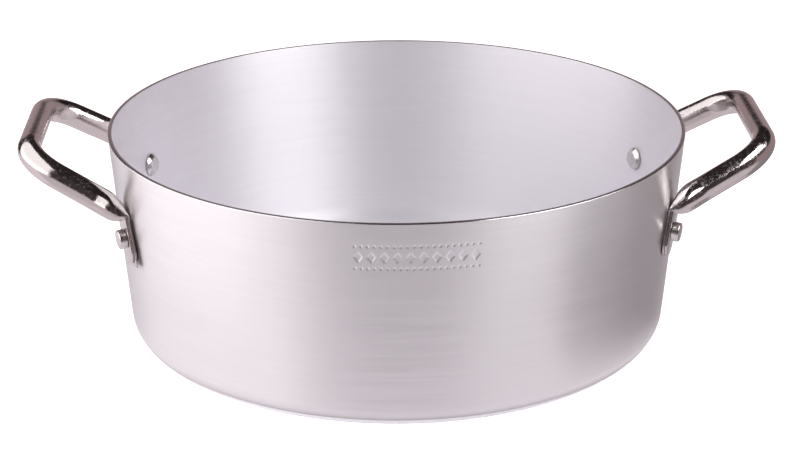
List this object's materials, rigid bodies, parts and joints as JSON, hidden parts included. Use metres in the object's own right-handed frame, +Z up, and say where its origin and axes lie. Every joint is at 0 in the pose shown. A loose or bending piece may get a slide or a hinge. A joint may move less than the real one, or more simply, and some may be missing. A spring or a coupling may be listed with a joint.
{
  "type": "casserole pot",
  "caption": "Low, wide open cooking pot of aluminium with a flat base, a rounded bottom corner, a slightly flared wall and riveted bent-tube side handles.",
  "frame": {"origin": "centre of the flat underside, on the surface that the pot stands on", "axes": "+Z up along the pot's axis, +X towards the right handle, -Y towards the front"},
  "size_m": [0.517, 0.4, 0.1535],
  "materials": {
    "aluminium_shell": "bare aluminium with a fine turned grain running round the wall",
    "polished_steel": "polished stainless steel tube with near-mirror reflections",
    "rivet_steel": "satin steel rivet heads"
  },
  "bodies": {
    "root": {"pot_body": "aluminium_shell", "left_handle": "polished_steel", "right_handle": "polished_steel", "left_front_rivet": "rivet_steel", "left_rear_rivet": "rivet_steel", "right_front_rivet": "rivet_steel", "right_rear_rivet": "rivet_steel"}
  },
  "joints": []
}
